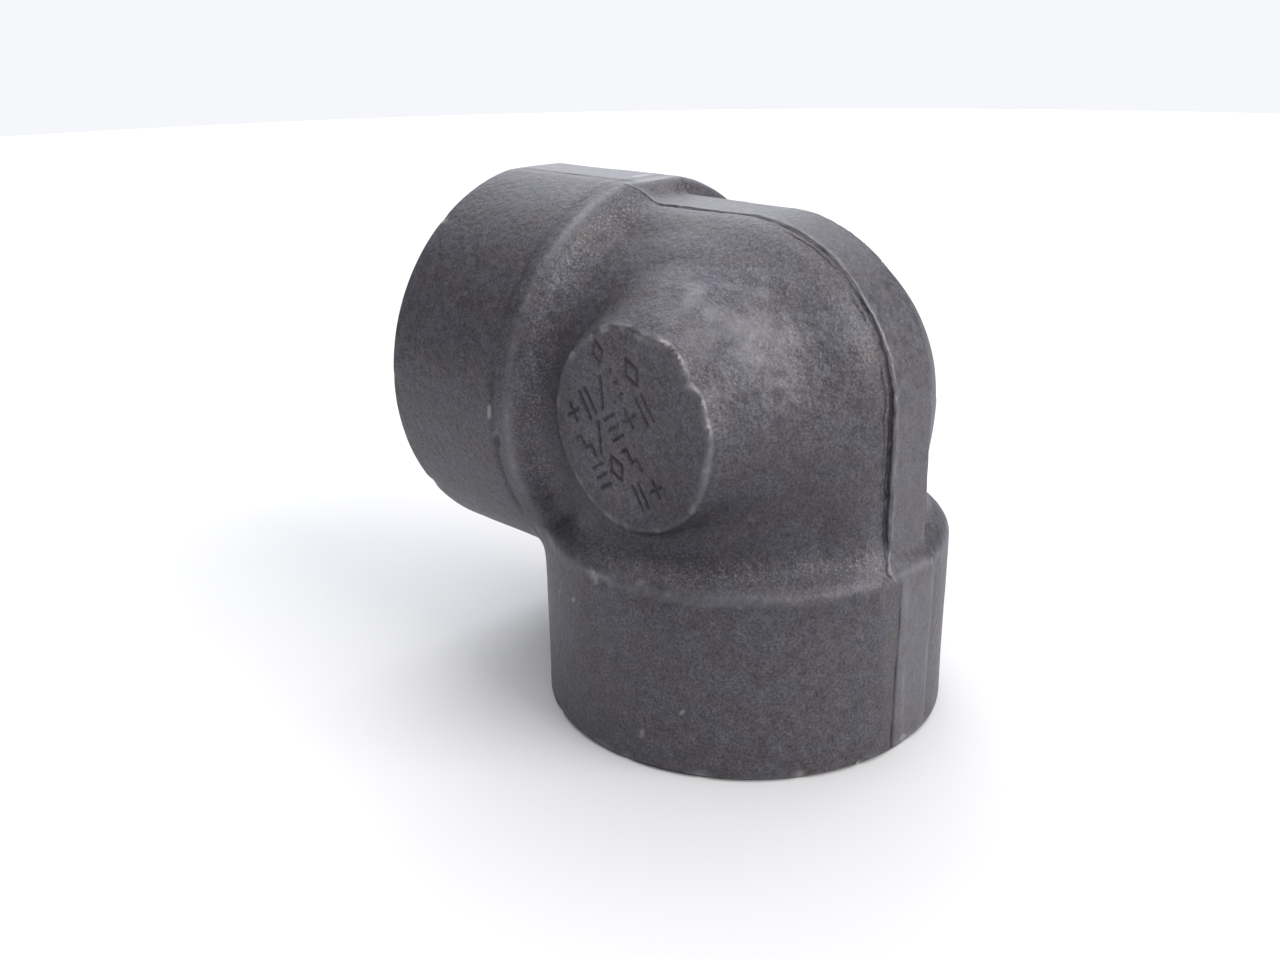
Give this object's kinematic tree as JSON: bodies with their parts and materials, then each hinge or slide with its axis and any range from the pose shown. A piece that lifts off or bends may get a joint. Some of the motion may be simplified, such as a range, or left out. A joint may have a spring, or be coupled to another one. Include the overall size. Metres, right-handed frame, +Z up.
{
  "type": "pipe elbow",
  "caption": "Forged steel socket-weld pipe elbow with a right-angle bend, a round band and bored pipe socket at each end, and flat round marking pads on its sides.",
  "frame": {"origin": "centre of the lower end face, on the lower socket's axis", "axes": "+Z up along the lower socket's axis, away from its mouth; the upper socket's mouth faces -X; the bend lies in the plane Y = 0"},
  "size_m": [0.0576, 0.046, 0.0576],
  "materials": {
    "forged_steel": "dark grey shot-blasted forging skin, with machined end faces and sockets"
  },
  "bodies": {
    "root": {"elbow_body": "forged_steel"}
  },
  "joints": []
}
